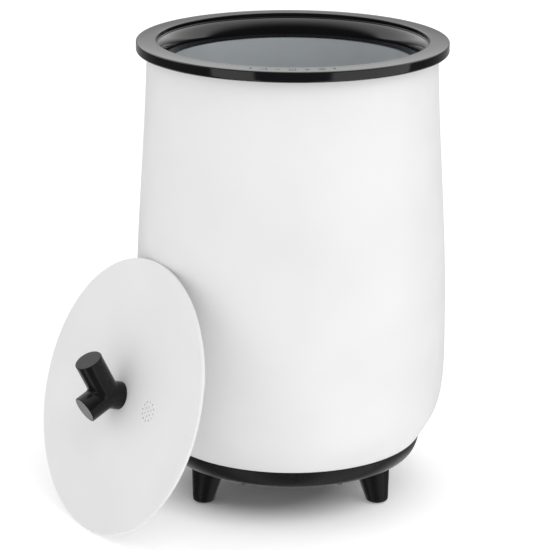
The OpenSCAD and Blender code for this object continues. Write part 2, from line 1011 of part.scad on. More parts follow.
// Nineteen holes: one, a ring of six and a ring of twelve
module vent_holes() {
  pitch = 4.7;
  for (k = [0:2], i = [0:max(0, 6 * k - 1)])
    rotate([0, 0, 360 * i / max(1, 6 * k)])
      translate([pitch * k, 0, -lid_t - 1])
        cylinder(r = vent_hole_r, h = lid_t + 2, $fn = 16);
}

// Forked knob like a cut twig: a trunk and two branches at right angles
module lid_knob() {
  color("#151516")
    leaning()
      difference() {
        union() {
          cylinder(r = trunk_r, h = fork_h);
          translate([0, 0, fork_h]) {
            sphere(r = trunk_r);
            knob_branch(-45, long_branch);
            knob_branch(45, short_branch);
          }
        }
        translate([0, 0, -1])
          cylinder(r = knob_screw_r, h = 17, $fn = 32);
      }
}

// One branch, tilted in the plane that runs up and down the lid
module knob_branch(tilt, length) {
  chamfer = 0.9;
  rotate([0, tilt, 0]) {
    cylinder(r = branch_r, h = length - chamfer);
    translate([0, 0, length - chamfer - eps])
      cylinder(r1 = branch_r, r2 = branch_r - chamfer, h = chamfer);
  }
}

// Washer under the knob's screw, on the lid's underside
module knob_washer() {
  color("#c0c3c7")
    leaning()
      ring(knob_screw_r, 8, -lid_t - 1.2, -lid_t);
}

// Screw that goes up through the lid into the knob
module knob_screw() {
  color("#c8cacd")
    leaning()
      translate([0, 0, -lid_t - 1.2])
        rotate([180, 0, 0])
          screw(knob_screw_r, 18, 4.6, 1.8);
}

// -------------------------------------------------------------- the grate

// Perforated plate that keeps hands off the pot's hot floor
module floor_grate() {
  hole_r = 4.5;
  ring_pitch = 13.5;
  color("#d8dadc")
    difference() {
      union() {
        translate([0, 0, z_grate])
          cylinder(r = grate_r, h = grate_t, $fn = 120);
        translate([0, 0, z_grate + grate_t - eps])
          cylinder(r1 = 9, r2 = 6, h = 12, $fn = 48);
        translate([0, 0, z_grate + grate_t + 12 - 2 * eps])
          cylinder(r = 11, h = 5, $fn = 48);
      }
      for (k = [2:7], i = [0:6 * k - 1])
        rotate([0, 0, 360 * i / (6 * k)])
          translate([ring_pitch * k, 0, z_grate - 1])
            cylinder(r = hole_r, h = grate_t + 2, $fn = 24);
    }
}

// Silicone feet that hold the grate above the floor
module grate_feet() {
  color("#9b9da0")
    for (a = [45:90:315])
      place(a, 87.75)
        translate([0, 0, z_grate - grate_foot_h])
          cylinder(r1 = 5, r2 = 6.5, h = grate_foot_h, $fn = 40);
}

// ------------------------------------------------------------------ output

outer_shell();
top_collar();
rim_channel_cover();
touch_board();
touch_ribbon();
inner_pot();
pot_gasket();
clamp_ring();
collar_screws();
hanger_straps();
strap_screws();
wall_heater();
heater_bands();
band_screws();
base_heater();
thermal_cutout();
cutout_bracket();
temperature_sensor();
insulation_wrap();
insulation_disc();
heat_shield();
shield_screws();
base_pan();
base_screws();
foot_front_left();
foot_front_right();
foot_back();
pad_front_left();
pad_front_right();
pad_back();
foot_screws();
cord_gland();
gland_nut();
terminal_block();
terminal_screws();
control_board();
board_screws();
transformer();
relay();
filter_capacitors();
board_connectors();
power_leads();
heater_leads();
sensor_lead();
earth_lead();
lid_plate();
lid_knob();
knob_washer();
knob_screw();
floor_grate();
grate_feet();
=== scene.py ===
"""Looks of the paraffin wax bath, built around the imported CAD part.

The CAD nodes give every place and size. The pieces that show are rebuilt here as finer
meshes on the same outlines. The pieces inside the barrel keep their CAD shapes, and get
their own materials.
"""

import json
import math

import bmesh
import bpy
import numpy as np
from mathutils import Matrix, Vector


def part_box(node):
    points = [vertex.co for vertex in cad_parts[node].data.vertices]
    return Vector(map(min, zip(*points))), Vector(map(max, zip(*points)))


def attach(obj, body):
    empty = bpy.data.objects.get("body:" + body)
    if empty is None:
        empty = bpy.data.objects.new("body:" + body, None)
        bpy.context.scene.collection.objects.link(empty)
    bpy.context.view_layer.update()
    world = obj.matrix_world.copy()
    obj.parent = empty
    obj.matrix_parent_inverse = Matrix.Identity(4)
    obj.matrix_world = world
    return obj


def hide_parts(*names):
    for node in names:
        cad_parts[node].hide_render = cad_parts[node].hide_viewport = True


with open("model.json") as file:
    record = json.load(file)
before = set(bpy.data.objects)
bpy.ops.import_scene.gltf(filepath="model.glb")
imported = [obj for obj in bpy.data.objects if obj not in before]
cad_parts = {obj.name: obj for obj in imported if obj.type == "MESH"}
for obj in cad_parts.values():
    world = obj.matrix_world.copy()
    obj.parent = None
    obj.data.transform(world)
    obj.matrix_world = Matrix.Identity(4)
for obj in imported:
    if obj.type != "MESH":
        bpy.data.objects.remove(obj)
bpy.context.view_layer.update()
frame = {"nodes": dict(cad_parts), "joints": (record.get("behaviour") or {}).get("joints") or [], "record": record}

MM = 0.001
TAU = 2 * math.pi
SEGMENTS = 256


# ------------------------------------------------------------ places and sizes


def size(node):
    low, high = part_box(node)
    return high - low


def middle(node):
    low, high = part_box(node)
    return (low + high) / 2


# Levels
Z_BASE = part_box("base_pan")[0].z
Z_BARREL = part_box("outer_shell")[0].z
Z_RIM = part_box("outer_shell")[1].z
Z_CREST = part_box("top_collar")[1].z
Z_BAND = Z_CREST - 0.65 * MM
Z_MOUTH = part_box("pot_gasket")[1].z
Z_LEDGE = Z_CREST - 4.6 * MM

# Radii
BELLY_R = size("outer_shell").x / 2
BARREL_TOP_R = BELLY_R - 13.5 * MM
BARREL_FOOT_R = BELLY_R - 24 * MM
COLLAR_R = size("top_collar").x / 2
RECESS_R = COLLAR_R - 20.1 * MM
COLLAR_LIP_R = BARREL_TOP_R + 0.3 * MM
MOUTH_R = size("pot_gasket").x / 2 - 7.3 * MM
WALL = 3 * MM
CHANNEL_IN_R = BARREL_TOP_R + 1.3 * MM
CHANNEL_OUT_R = COLLAR_R - 2.8 * MM

# Directions around the base, in degrees: the vent fans and posts, and the base screws, which are
# turned a little and stand to both sides of each fan
FANS = (30, 150, 270)
BASE_TURN = 1.3
SCREW_SPREAD = 23.2

# The lid's frame: local z is its outer normal, and z = 0 is its outer face
LID_T = 4 * MM
LID_JOINT = next(j for j in frame["joints"] if j["name"] == "lid_lift")
LID_NORMAL = Vector(LID_JOINT["axis"]).normalized()
LID_R = 138.2 * MM


def lid_matrix():
    """Local x points down the lid, local y towards the vent, local z out of its face."""
    down = (LID_NORMAL * LID_NORMAL.z - Vector((0, 0, 1))).normalized()
    across = LID_NORMAL.cross(down)
    face = middle("knob_washer") + LID_NORMAL * (LID_T + 0.6 * MM)
    axes = Matrix((down, across, LID_NORMAL)).transposed()
    return Matrix.Translation(face) @ axes.to_4x4()


LID = lid_matrix()


# ------------------------------------------------------------ outlines


def arc(centre, rx, rz, start, end, steps):
    """Points of an elliptical arc, with the angles in degrees."""
    points = []
    for i in range(steps + 1):
        a = math.radians(start + (end - start) * i / steps)
        points.append((centre[0] + rx * math.cos(a), centre[1] + rz * math.sin(a)))
    return points


def bezier(p0, p1, p2, p3, steps):
    """Points of a cubic Bezier curve."""
    points = []
    for i in range(steps + 1):
        t = i / steps
        u = 1 - t
        weights = (u * u * u, 3 * u * u * t, 3 * u * t * t, t * t * t)
        points.append(tuple(sum(w * p[k] for w, p in zip(weights, (p0, p1, p2, p3))) for k in (0, 1)))
    return points


# ------------------------------------------------------------ mesh helpers


def add_object(name, bm, sharp_angle=32):
    """Turns a bmesh into an object with smooth faces and sharp edges above the angle."""
    bmesh.ops.recalc_face_normals(bm, faces=bm.faces)
    for face in bm.faces:
        face.smooth = True
    for edge in bm.edges:
        if len(edge.link_faces) == 2:
            edge.smooth = edge.calc_face_angle() < math.radians(sharp_angle)
    mesh = bpy.data.meshes.new(name)
    bm.to_mesh(mesh)
    bm.free()
    piece = bpy.data.objects.new(name, mesh)
    bpy.context.collection.objects.link(piece)
    return piece


def lathe(name, outline, segments=SEGMENTS, sharp_angle=32, centre=(0, 0)):
    """Revolves a closed outline of (radius, height) points about a vertical axis."""
    bm = bmesh.new()
    rings = []
    for radius, z in outline:
        count = segments if radius > 1e-6 else 1
        rings.append([
            bm.verts.new((
                centre[0] + radius * math.cos(TAU * i / segments),
                centre[1] + radius * math.sin(TAU * i / segments),
                z,
            ))
            for i in range(count)
        ])
    for ring, following in zip(rings, rings[1:] + rings[:1]):
        for i in range(segments):
            corners = [
                ring[i % len(ring)],
                ring[(i + 1) % segments % len(ring)],
                following[(i + 1) % segments % len(following)],
                following[i % len(following)],
            ]
            corners = list(dict.fromkeys(corners))
            if len(corners) > 2:
                bm.faces.new(corners)
    return add_object(name, bm, sharp_angle)


def loft(name, sections, segments=64, sharp_angle=32):
    """Closed solid through horizontal circles given as (centre, radius, height)."""
    bm = bmesh.new()
    rings = []
    for centre, radius, z in sections:
        rings.append([
            bm.verts.new((
                centre.x + radius * math.cos(TAU * i / segments),
                centre.y + radius * math.sin(TAU * i / segments),
                z,
            ))
            for i in range(segments)
        ])
    for ring, following in zip(rings, rings[1:]):
        for i in range(segments):
            j = (i + 1) % segments
            bm.faces.new((ring[i], ring[j], following[j], following[i]))
    bm.faces.new(rings[0][::-1])
    bm.faces.new(rings[-1])
    return add_object(name, bm, sharp_angle)


def block(name, low, high, bevel):
    """Box with rounded edges."""
    bm = bmesh.new()
    bmesh.ops.create_cube(bm, size=1)
    low, high = Vector(low), Vector(high)
    for vert in bm.verts:
        vert.co = Vector(low[k] + (vert.co[k] + 0.5) * (high[k] - low[k]) for k in range(3))
    bmesh.ops.bevel(bm, geom=bm.edges, offset=bevel, segments=3, affect="EDGES", profile=0.5)
    return add_object(name, bm)


def resharpen(piece, sharp_angle=32):
    """Marks the sharp edges again after a boolean."""
    bm = bmesh.new()
    bm.from_mesh(piece.data)
    bmesh.ops.remove_doubles(bm, verts=bm.verts, dist=1e-7)
    for face in bm.faces:
        face.smooth = True
    for edge in bm.edges:
        if len(edge.link_faces) == 2:
            edge.smooth = edge.calc_face_angle() < math.radians(sharp_angle)
    bm.to_mesh(piece.data)
    bm.free()


def bake_modifiers(piece):
    graph = bpy.context.evaluated_depsgraph_get()
    mesh = bpy.data.meshes.new_from_object(piece.evaluated_get(graph))
    piece.modifiers.clear()
    piece.data = mesh


def combine(piece, tool, operation):
    """Boolean of two closed meshes. The tool is used up."""
    modifier = piece.modifiers.new("combine", "BOOLEAN")
    modifier.operation = operation
    modifier.solver = "EXACT"
    modifier.object = tool
    bake_modifiers(piece)
    bpy.data.objects.remove(tool)
    resharpen(piece)


def join(name, parts):
    """One object from several, each already in its place."""
    bm = bmesh.new()
    for part in parts:
        part.data.transform(part.matrix_world)
        bm.from_mesh(part.data)
        bpy.data.objects.remove(part)
    mesh = bpy.data.meshes.new(name)
    bm.to_mesh(mesh)
    bm.free()
    piece = bpy.data.objects.new(name, mesh)
    bpy.context.collection.objects.link(piece)
    return piece


def settle(piece, matrix):
    """Moves the mesh itself, so that the object stays at the origin."""
    piece.data.transform(matrix)
    piece.data.update()
    return piece


def finish_piece(piece, body, slot_name, *nodes):
    """Gives a piece its material and says what it rides on and which CAD nodes it stands for."""
    piece.data.materials.clear()
    piece.data.materials.append(MATERIALS[slot_name])
    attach(piece, body)
    if nodes:
        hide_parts(*nodes)
    return piece


# ------------------------------------------------------------ materials


class Finish:
    """A Principled material that gathers procedural detail step by step."""

    def __init__(self, name, colour, roughness, metallic=0.0, specular=0.5, coat=0.0):
        self.material = bpy.data.materials.new(name)
        self.material.use_nodes = True
        self.tree = self.material.node_tree
        self.shader = self.tree.nodes["Principled BSDF"]
        self.colour = (*colour, 1)
        self.set("Base Color", self.colour)
        self.set("Roughness", roughness)
        self.set("Metallic", metallic)
        self.set("Specular IOR Level", specular)
        self.set("Coat Weight", coat)
        self.place = self.add("ShaderNodeTexCoord").outputs["Object"]
        self.normal = None

    def set(self, socket, value):
        self.shader.inputs[socket].default_value = value

    def add(self, kind, **settings):
        node = self.tree.nodes.new(kind)
        for key, value in settings.items():
            setattr(node, key, value)
        return node

    def link(self, output, target):
        self.tree.links.new(output, target)

    def noise(self, scale, detail=3, roughness=0.5, stretch=None, where=None):
        """Noise in object space, in features per metre, optionally stretched."""
        source = where or self.place
        if stretch:
            mapping = self.add("ShaderNodeMapping")
            mapping.inputs["Scale"].default_value = stretch
            self.link(source, mapping.inputs["Vector"])
            source = mapping.outputs["Vector"]
        node = self.add("ShaderNodeTexNoise")
        node.inputs["Scale"].default_value = scale
        node.inputs["Detail"].default_value = detail
        node.inputs["Roughness"].default_value = roughness
        self.link(source, node.inputs["Vector"])
        return node.outputs["Fac"]

    def around(self, turns=1.0):
        """Coordinates that run with the radius, the angle and the height of a turned piece."""
        split = self.add("ShaderNodeSeparateXYZ")
        self.link(self.place, split.inputs["Vector"])
        angle = self.add("ShaderNodeMath", operation="ARCTAN2")
        self.link(split.outputs["Y"], angle.inputs[0])
        self.link(split.outputs["X"], angle.inputs[1])
        scaled = self.add("ShaderNodeMath", operation="MULTIPLY")
        self.link(angle.outputs[0], scaled.inputs[0])
        scaled.inputs[1].default_value = 0.01 * turns
        flat = self.add("ShaderNodeCombineXYZ")
        self.link(split.outputs["X"], flat.inputs["X"])
        self.link(split.outputs["Y"], flat.inputs["Y"])
        length = self.add("ShaderNodeVectorMath", operation="LENGTH")
        self.link(flat.outputs["Vector"], length.inputs[0])
        result = self.add("ShaderNodeCombineXYZ")
        self.link(length.outputs["Value"], result.inputs["X"])
        self.link(scaled.outputs[0], result.inputs["Y"])
        self.link(split.outputs["Z"], result.inputs["Z"])
        return result.outputs["Vector"]

    def span(self, value, low, high, start=0.35, end=0.65):
        node = self.add("ShaderNodeMapRange")
        node.inputs["From Min"].default_value = start
        node.inputs["From Max"].default_value = end
        node.inputs["To Min"].default_value = low
        node.inputs["To Max"].default_value = high
        self.link(value, node.inputs["Value"])
        return node.outputs["Result"]

    def mottle(self, value, amount):
        """Lets the colour drift lighter and darker by a share of itself."""
        mix = self.add("ShaderNodeMix", data_type="RGBA")
        dark = tuple(c * (1 - amount) for c in self.colour[:3])
        light = tuple(min(1, c * (1 + amount)) for c in self.colour[:3])
        mix.inputs["A"].default_value = (*dark, 1)
        mix.inputs["B"].default_value = (*light, 1)
        self.link(self.span(value, 0, 1), mix.inputs["Factor"])
        self.link(mix.outputs["Result"], self.shader.inputs["Base Color"])
        return self

    def polish(self, value, low, high):
        """Lets the roughness drift between two values."""
        self.link(self.span(value, low, high), self.shader.inputs["Roughness"])
        return self

    def relief(self, value, height, strength=1.0):
        """Adds a bump of the given height in metres."""
        bump = self.add("ShaderNodeBump")
        bump.inputs["Strength"].default_value = strength
        bump.inputs["Distance"].default_value = height
        self.link(value, bump.inputs["Height"])
        if self.normal:
            self.link(self.normal, bump.inputs["Normal"])
        self.normal = bump.outputs["Normal"]
        self.link(self.normal, self.shader.inputs["Normal"])
        return self


def moulded(name, colour, roughness, specular=0.5, grain=0.02 * MM):
    """Satin moulded plastic with a fine spark-eroded grain."""
    finish = Finish(name, colour, roughness, specular=specular)
    finish.mottle(finish.noise(9, 2), 0.02)
    finish.polish(finish.noise(30, 3), roughness - 0.04, roughness + 0.05)
    finish.relief(finish.noise(2600, 2), grain)
    return finish.material


def glossy(name, colour):
    """Polished black plastic with faint haze and hairline wear."""
    finish = Finish(name, colour, 0.08, specular=0.5)
    finish.mottle(finish.noise(14, 2), 0.1)
    finish.polish(finish.noise(22, 4), 0.05, 0.12)
    finish.relief(finish.noise(60, 2), 0.03 * MM, 0.25)
    return finish.material


def anodised(name, colour):
    """Drawn, hard-anodised aluminium with a fine grain around the pot."""
    finish = Finish(name, colour, 0.42, metallic=0.1, specular=0.4)
    rings = finish.around()
    finish.mottle(finish.noise(12, 3), 0.05)
    finish.polish(finish.noise(900, 2, where=rings), 0.36, 0.5)
    finish.relief(finish.noise(1800, 2, where=rings), 0.01 * MM)
    return finish.material


def plated(name, colour, roughness=0.3):
    """Zinc-plated or stainless steel with a rolled grain."""
    finish = Finish(name, colour, roughness, metallic=1.0)
    finish.mottle(finish.noise(35, 3), 0.06)
    finish.polish(finish.noise(160, 3, stretch=(1, 1, 8)), roughness - 0.06, roughness + 0.1)
    finish.relief(finish.noise(900, 2, stretch=(1, 1, 10)), 0.01 * MM)
    return finish.material


def rubber(name, colour):
    """Matte rubber or silicone with a dusty surface."""
    finish = Finish(name, colour, 0.75, specular=0.3)
    finish.mottle(finish.noise(60, 4), 0.12)
    finish.polish(finish.noise(120, 3), 0.68, 0.85)
    finish.relief(finish.noise(1500, 3), 0.03 * MM)
    return finish.material


def fibrous(name, colour):
    """Glass wool: matted fibres that run around the barrel."""
    finish = Finish(name, colour, 0.95, specular=0.1)
    strands = finish.noise(500, 6, 0.7, stretch=(1, 1, 6))
    finish.mottle(strands, 0.25)
    finish.relief(strands, 0.8 * MM)
    return finish.material


def lacquered(name, colour, roughness=0.45):
    """Small electrical part: lacquer or plastic with slight unevenness."""
    finish = Finish(name, colour, roughness)
    finish.mottle(finish.noise(90, 3), 0.08)
    finish.polish(finish.noise(200, 2), roughness - 0.08, roughness + 0.1)
    finish.relief(finish.noise(1200, 2), 0.01 * MM)
    return finish.material


def colour_of(slot_name):
    found = [m for m in frame["record"]["materials"] if m["slot"] == slot_name]
    return tuple(found[0]["base_color"][:3])


MAKERS = {
    "shell_white": lambda n, c: moulded(n, c, 0.42),
    "lid_white": lambda n, c: moulded(n, c, 0.45),
    "collar_gloss": glossy,
    "base_black": lambda n, c: moulded(n, c, 0.3, 0.15),
    "foot_black": lambda n, c: moulded(n, c, 0.3, 0.12),
    "knob_black": lambda n, c: moulded(n, c, 0.14, 0.2, 0.01 * MM),
    "pot_aluminium": anodised,
    "pad_rubber": rubber,
    "silicone_black": rubber,
    "heating_mat": rubber,
    "grate_rubber": rubber,
    "zinc_steel": plated,
    "screw_steel": lambda n, c: plated(n, c, 0.25),
    "screw_black": lambda n, c: plated(n, c, 0.4),
    "grate_steel": lambda n, c: plated(n, c, 0.28),
    "heating_plate": lambda n, c: plated(n, c, 0.45),
    "terminal_brass": lambda n, c: plated(n, c, 0.3),
    "glass_wool": fibrous,
}
MATERIALS = {
    m["slot"]: MAKERS.get(m["slot"], lacquered)(m["slot"], colour_of(m["slot"]))
    for m in frame["record"]["materials"]
}


# ------------------------------------------------------------ the barrel


def build_barrel():
    """White barrel: belly low down, drawn in to the base, slightly narrower at the top."""
    z_belly = Z_BARREL + 94 * MM
    lower = bezier(
        (BARREL_FOOT_R, Z_BARREL),
        (BARREL_FOOT_R + 16.9 * MM, Z_BARREL + 28.5 * MM),
        (BELLY_R, z_belly - 62 * MM),
        (BELLY_R, z_belly),
        40,
    )
    upper = bezier(
        (BELLY_R, z_belly),
        (BELLY_R, z_belly + 120 * MM),
        (BARREL_TOP_R + 4.1 * MM, Z_RIM - 120 * MM),
        (BARREL_TOP_R, Z_RIM),
        44,
    )
    outside = lower + upper[1:]
    inside = [(r - WALL, z) for r, z in outside if z > Z_BARREL + 5 * MM]
    flange_r = 108 * MM
    outline = (
        [(BARREL_FOOT_R - 0.4 * MM, Z_BARREL)]
        + outside[1:]
        + inside[::-3]
        + [(BARREL_FOOT_R - 2 * MM, Z_BARREL + WALL), (flange_r, Z_BARREL + WALL), (flange_r, Z_BARREL)]
    )
    finish_piece(lathe("barrel", outline), "housing", "shell_white", "outer_shell")


# ------------------------------------------------------------ the collar


def collar_outline():
    """Band, crest, lid recess, funnel and skirt, with a touch channel open at the bottom."""
    corner = 1.3 * MM
    skirt_out = BARREL_TOP_R - WALL - 0.6 * MM
    skirt_in = skirt_out - 2.9 * MM
    z_skirt = Z_MOUTH - 1.8 * MM
    wall = 2.8 * MM
    z_channel = Z_RIM + 7 * MM
    z_under = Z_LEDGE - wall
    funnel_r = RECESS_R - 1.2 * MM
    crest = (RECESS_R + 1.1 * MM, Z_CREST - 1.1 * MM)
    funnel = bezier(
        (funnel_r, Z_LEDGE),
        (funnel_r - 6.5 * MM, Z_LEDGE - 1.2 * MM),
        (MOUTH_R + 0.6 * MM, Z_MOUTH + 11 * MM),
        (MOUTH_R + 0.1 * MM, Z_MOUTH + 0.5 * MM),
        40,
    )
    under = bezier(
        (MOUTH_R + wall, Z_MOUTH),
        (MOUTH_R + wall + 0.6 * MM, Z_MOUTH + 8 * MM),
        (funnel_r - 5 * MM, z_under - 0.6 * MM),
        (funnel_r + 1 * MM, z_under),
        16,
    )
    round_r = 2.5 * MM
    return (
        arc((COLLAR_R - round_r, Z_RIM + round_r), round_r, round_r, -90, 0, 12)
        + arc((COLLAR_R - corner, Z_BAND - corner), corner, corner, 0, 85, 10)
        + arc(crest, 1.1 * MM, 1.1 * MM, 85, 180, 10)
        + [(RECESS_R - 0.1 * MM, Z_LEDGE + 0.5 * MM)]
        + arc((RECESS_R - 0.6 * MM, Z_LEDGE + 0.5 * MM), 0.5 * MM, 0.5 * MM, 0, -90, 4)[1:]
        + funnel
        + arc((MOUTH_R + 0.6 * MM, Z_MOUTH + 0.5 * MM), 0.5 * MM, 0.5 * MM, 180, 270, 4)[1:]
        + under
        + [
            (skirt_in, z_under),
            (skirt_in, z_skirt),
            (skirt_out, z_skirt),
            (skirt_out, Z_RIM),
            (COLLAR_LIP_R, Z_RIM),
            (CHANNEL_IN_R, Z_RIM),
            (CHANNEL_IN_R, z_channel),
            (CHANNEL_OUT_R, z_channel),
            (CHANNEL_OUT_R, Z_RIM),
        ]
    )


def build_collar():
    collar = lathe("collar", collar_outline(), 320)
    finish_piece(collar, "housing", "collar_gloss", "top_collar")


# ------------------------------------------------------------ touch legend


def legend_ring(radius, width, start, end, steps=28):
    """Band along a circle, as quads of (across, outward) points in millimetres."""
    quads = []
    for i in range(steps):
        a0 = math.radians(start + (end - start) * i / steps)
        a1 = math.radians(start + (end - start) * (i + 1) / steps)
        inner, outer = radius - width / 2, radius + width / 2
        quads.append([
            (inner * math.sin(a0), -inner * math.cos(a0)),
            (outer * math.sin(a0), -outer * math.cos(a0)),
            (outer * math.sin(a1), -outer * math.cos(a1)),
            (inner * math.sin(a1), -inner * math.cos(a1)),
        ])
    return quads


def legend_bar(u, v, width, height):
    return [[
        (u - width / 2, v - height / 2),
        (u + width / 2, v - height / 2),
        (u + width / 2, v + height / 2),
        (u - width / 2, v + height / 2),
    ]]


def shifted(quads, u):
    return [[(p[0] + u, p[1]) for p in quad] for quad in quads]


def build_legend():
    """Generic touch symbols printed on the front of the collar's top face."""
    quads = legend_ring(3.2, 0.8, 35, 325) + legend_bar(0, -2.6, 0.8, 3.4)
    quads += shifted(legend_bar(0, 0, 5, 0.9), -14)
    quads += shifted(legend_bar(0, 0, 5, 0.9) + legend_bar(0, 0, 0.9, 5), 14)
    for step, height in enumerate((1.6, 3.2, 4.8)):
        quads += legend_bar(-30 + 2.6 * step, 2.4 - height / 2, 1.3, height)
    quads += shifted(legend_ring(2.8, 0.7, 0, 360) + legend_bar(0, -0.9, 0.6, 1.9), 28)
    quads += shifted(legend_bar(0.8, 0, 1.7, 0.6), 28)
    for u in (-40, 40):
        quads += shifted(legend_ring(0.7, 1.39, 0, 360, 16), u)

    middle_r = (RECESS_R + COLLAR_R) / 2 - 0.2 * MM
    slope = (Z_CREST - Z_BAND) / (COLLAR_R - RECESS_R - 2.4 * MM)
    bm = bmesh.new()
    for quad in quads:
        layers = []
        for lift in (-0.02 * MM, 0.05 * MM):
            verts = []
            for u, v in quad:
                radius = middle_r + v * MM
                angle = -math.pi / 2 + u * MM / middle_r
                top = Z_BAND + (COLLAR_R - 1.2 * MM - radius) * slope
                verts.append(bm.verts.new((radius * math.cos(angle), radius * math.sin(angle), top + lift)))
            layers.append(verts)
        low, high = layers
        bm.faces.new(high)
        bm.faces.new(low[::-1])
        for i in range(4):
            j = (i + 1) % 4
            bm.faces.new((low[i], low[j], high[j], high[i]))
    bmesh.ops.remove_doubles(bm, verts=bm.verts, dist=1e-6)
    legend = add_object("touch_legend", bm)
    legend.data.materials.append(LEGEND_INK)
    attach(legend, "housing")


def ink():
    """Printed grey ink, a little uneven."""
    finish = Finish("legend_ink", (0.07, 0.07, 0.075), 0.7, specular=0.05)
    finish.mottle(finish.noise(400, 3), 0.15)
    finish.polish(finish.noise(300, 2), 0.5, 0.7)
    return finish.material


LEGEND_INK = ink()


# ------------------------------------------------------------ the pot


def build_pot():
    """Drawn pot: tapered wall, round corner and a flange under the collar."""
    wall = 1.6 * MM
    low_r = 119 * MM
    top_r = 125.4 * MM
    corner = 20 * MM
    z_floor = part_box("inner_pot")[0].z + wall
    z_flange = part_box("inner_pot")[1].z
    flange_r = size("inner_pot").x / 2
    centre = (low_r - corner, z_floor + corner)
    outline = (
        [(0, z_floor)]
        + arc(centre, corner, corner, -90, 0, 16)
        + [(low_r + (top_r - low_r) * t, z_floor + corner + (z_flange - wall - z_floor - corner) * t)
           for t in (0.25, 0.5, 0.75)]
        + [(top_r, z_flange - wall), (top_r, z_flange), (flange_r, z_flange), (flange_r, z_flange - wall)]
        + [(top_r + wall, z_flange - wall)]
        + arc(centre, corner + wall, corner + wall, 0, -90, 16)
        + [(0, z_floor - wall)]
    )
    finish_piece(lathe("pot", outline), "housing", "pot_aluminium", "inner_pot")


# ------------------------------------------------------------ base and feet


def base_outline():
    top_r = BARREL_FOOT_R - 0.2 * MM
    low_r = top_r - 7 * MM
    z_floor = Z_BASE + WALL
    outer = bezier(
        (low_r - 1 * MM, Z_BASE),
        (low_r + 2.6 * MM, Z_BASE + 2.6 * MM),
        (top_r - 0.6 * MM, Z_BASE + 9.5 * MM),
        (top_r, Z_BARREL - 1 * MM),
        24,
    )
    inner = [(r - WALL, z) for r, z in outer if z > z_floor + 1 * MM]
    return (
        [(0, Z_BASE), (low_r - 6 * MM, Z_BASE), (low_r - 1.6 * MM, Z_BASE)]
        + outer[1:]
        + [(top_r - 0.8 * MM, Z_BARREL), (top_r - WALL - 0.4 * MM, Z_BARREL)]
        + inner[::-2]
        + [(low_r - WALL, z_floor), (0, z_floor)]
    )


def polar(radius, degrees, z=0.0):
    a = math.radians(degrees)
    return Vector((radius * math.cos(a), radius * math.sin(a), z))


def vent_cutter():
    """Fifteen slots in three fans, as one object."""
    low = (60 * MM, -1.5 * MM, Z_BASE - MM)
    high = (82 * MM, 1.5 * MM, Z_BASE + 5 * MM)
    slots = []
    for fan in FANS:
        for step in range(-2, 3):
            slot = block("slot", low, high, 0.7 * MM)
            slots.append(settle(slot, Matrix.Rotation(math.radians(fan + 9 * step), 4, "Z")))
    return join("slots", slots)


def build_base():
    base = lathe("base", base_outline())
    gland = middle("cord_gland")
    face_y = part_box("cord_gland")[1].y - 2.4 * MM
    turn = Matrix.Translation((0, 0, gland.z)) @ Matrix.Rotation(-math.pi / 2, 4, "X")
    boss = lathe("boss", [(0, 120 * MM), (8 * MM, 120 * MM), (8 * MM, face_y - 0.6 * MM),
                          (7.4 * MM, face_y), (0, face_y)], 96)
    combine(base, settle(boss, turn), "UNION")
    bore = lathe("bore", [(0, 110 * MM), (5.2 * MM, 110 * MM), (5.2 * MM, 140 * MM), (0, 140 * MM)], 64)
    combine(base, settle(bore, turn), "DIFFERENCE")
    combine(base, vent_cutter(), "DIFFERENCE")
    post_r = 5 * MM
    z_floor = Z_BASE + WALL
    z_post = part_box("base_pan")[1].z
    post_outline = [(0, z_floor), (post_r, z_floor), (post_r, z_post), (0, z_post)]
    posts = [lathe("post", post_outline, 48, centre=polar(96 * MM, a)[:2]) for a in FANS]
    base = join("base", [base] + posts)
    finish_piece(base, "housing", "base_black", "base_pan")


FEET = ("front_left", "front_right", "back")


def build_foot(name):
    """Tapered foot, nearly upright outside, with a round lower edge and a pocket for its pad."""
    low = middle("pad_" + name)
    low.z = 0
    top = low.normalized() * 97.6 * MM
    top_r, low_r = 19.4 * MM, 11.7 * MM
    pad_r = size("pad_" + name).x / 2
    z_low = 1 * MM
    sections = [(low, pad_r, z_low + 2 * MM), (low, pad_r, z_low)]
    round_r = 3 * MM
    for radius, z in arc((low_r - round_r, z_low + round_r), round_r, round_r, -90, -12, 10):
        sections.append((low, radius, z))
    z_start = z_low + round_r
    for i in range(1, 17):
        t = i / 16
        sections.append((low.lerp(top, t), low_r + (top_r - low_r) * t, z_start + (Z_BASE - z_start) * t))
    foot = loft("foot_" + name + "_fine", sections, 96)
    finish_piece(foot, "housing", "foot_black", "foot_" + name)


def build_pad(name):
    """Rubber pad with two moulded grooves in its sole."""
    centre = middle("pad_" + name)
    radius = size("pad_" + name).x / 2
    grooves = []
    for r in (2.6 * MM, 5 * MM):
        for dr, z in ((-0.4, 0), (-0.2, 0.5), (0.2, 0.5), (0.4, 0)):
            grooves.append((r + dr * MM, z * MM))
    outline = (
        [(0, 0)]
        + grooves
        + arc((radius - 0.5 * MM, 0.5 * MM), 0.5 * MM, 0.5 * MM, -90, 0, 4)
        + [(radius, 3 * MM), (0, 3 * MM)]
    )
    pad = lathe("sole_" + name, outline, 64, centre=centre[:2])
    finish_piece(pad, "housing", "pad_rubber", "pad_" + name)


# ------------------------------------------------------------ fasteners and gland


